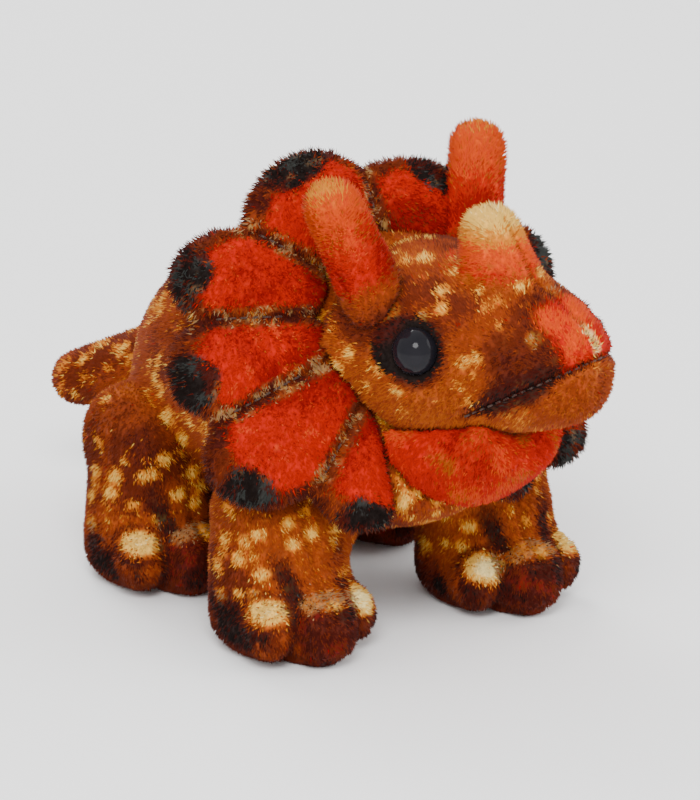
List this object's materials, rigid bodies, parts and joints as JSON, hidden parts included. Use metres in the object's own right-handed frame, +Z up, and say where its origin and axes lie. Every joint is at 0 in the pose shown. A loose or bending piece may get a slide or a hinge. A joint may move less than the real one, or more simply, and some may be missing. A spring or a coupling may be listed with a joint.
{
  "type": "stuffed dinosaur",
  "caption": "Soft sewn horned dinosaur that stands on stubby legs, with a scalloped quilted neck frill, brow horns, a nose horn and a short tail.",
  "frame": {"origin": "on the surface that the toy stands on, under the middle of its bounding box", "axes": "+Z up; the toy faces -Y, so its right side is -X and its tail is towards +Y"},
  "size_m": [0.1159, 0.189, 0.1231],
  "materials": {
    "spotted_plush": "matte",
    "frill_plush": "matte",
    "horn_plush": "matte",
    "stuffing": "matte",
    "eye": "gloss",
    "washer": "satin",
    "thread": "matte"
  },
  "bodies": {
    "trunk": {"belly_panel": "spotted_plush", "body_panel_left": "spotted_plush", "body_panel_right": "spotted_plush", "body_stuffing": "stuffing", "brow_horn_cloth_left": "horn_plush", "brow_horn_cloth_right": "horn_plush", "brow_horn_stuffing_left": "stuffing", "brow_horn_stuffing_right": "stuffing", "eye_left": "eye", "eye_right": "eye", "eye_washer_left": "washer", "eye_washer_right": "washer", "frill_back_cloth": "spotted_plush", "frill_batting": "stuffing", "frill_front_cloth": "frill_plush", "frill_stitching": "thread", "head_panel_left": "spotted_plush", "head_panel_right": "spotted_plush", "head_stuffing": "stuffing", "jaw_panel": "spotted_plush", "mouth_stitching": "thread", "throat_panel": "frill_plush", "throat_stuffing": "stuffing"},
    "tail": {"tail_panel_left": "spotted_plush", "tail_panel_right": "spotted_plush", "tail_stuffing": "stuffing"},
    "front_left_leg": {"front_left_leg_inner_panel": "spotted_plush", "front_left_leg_outer_panel": "spotted_plush", "front_left_leg_stuffing": "stuffing", "front_left_sole": "spotted_plush"},
    "front_right_leg": {"front_right_leg_inner_panel": "spotted_plush", "front_right_leg_outer_panel": "spotted_plush", "front_right_leg_stuffing": "stuffing", "front_right_sole": "spotted_plush"},
    "rear_left_leg": {"rear_left_leg_inner_panel": "spotted_plush", "rear_left_leg_outer_panel": "spotted_plush", "rear_left_leg_stuffing": "stuffing", "rear_left_sole": "spotted_plush"},
    "rear_right_leg": {"rear_right_leg_inner_panel": "spotted_plush", "rear_right_leg_outer_panel": "spotted_plush", "rear_right_leg_stuffing": "stuffing", "rear_right_sole": "spotted_plush"}
  },
  "joints": [
    {"name": "front_left_leg_swing", "type": "hinge", "parent": "trunk", "child": "front_left_leg", "pos_m": [0.031, -0.029, 0.033], "axis": [1, 0, 0], "range_deg": [-10, 10], "stiffness_Nm_per_rad": 0.2},
    {"name": "front_right_leg_swing", "type": "hinge", "parent": "trunk", "child": "front_right_leg", "pos_m": [-0.031, -0.029, 0.033], "axis": [1, 0, 0], "range_deg": [-10, 10], "stiffness_Nm_per_rad": 0.2},
    {"name": "rear_left_leg_swing", "type": "hinge", "parent": "trunk", "child": "rear_left_leg", "pos_m": [0.031, 0.027, 0.035], "axis": [1, 0, 0], "range_deg": [-10, 10], "stiffness_Nm_per_rad": 0.2},
    {"name": "rear_right_leg_swing", "type": "hinge", "parent": "trunk", "child": "rear_right_leg", "pos_m": [-0.031, 0.027, 0.035], "axis": [1, 0, 0], "range_deg": [-10, 10], "stiffness_Nm_per_rad": 0.2},
    {"name": "tail_wag", "type": "hinge", "parent": "trunk", "child": "tail", "pos_m": [0, 0.059, 0.043], "axis": [0, 0, 1], "range_deg": [-12, 12], "stiffness_Nm_per_rad": 0.05}
  ]
}
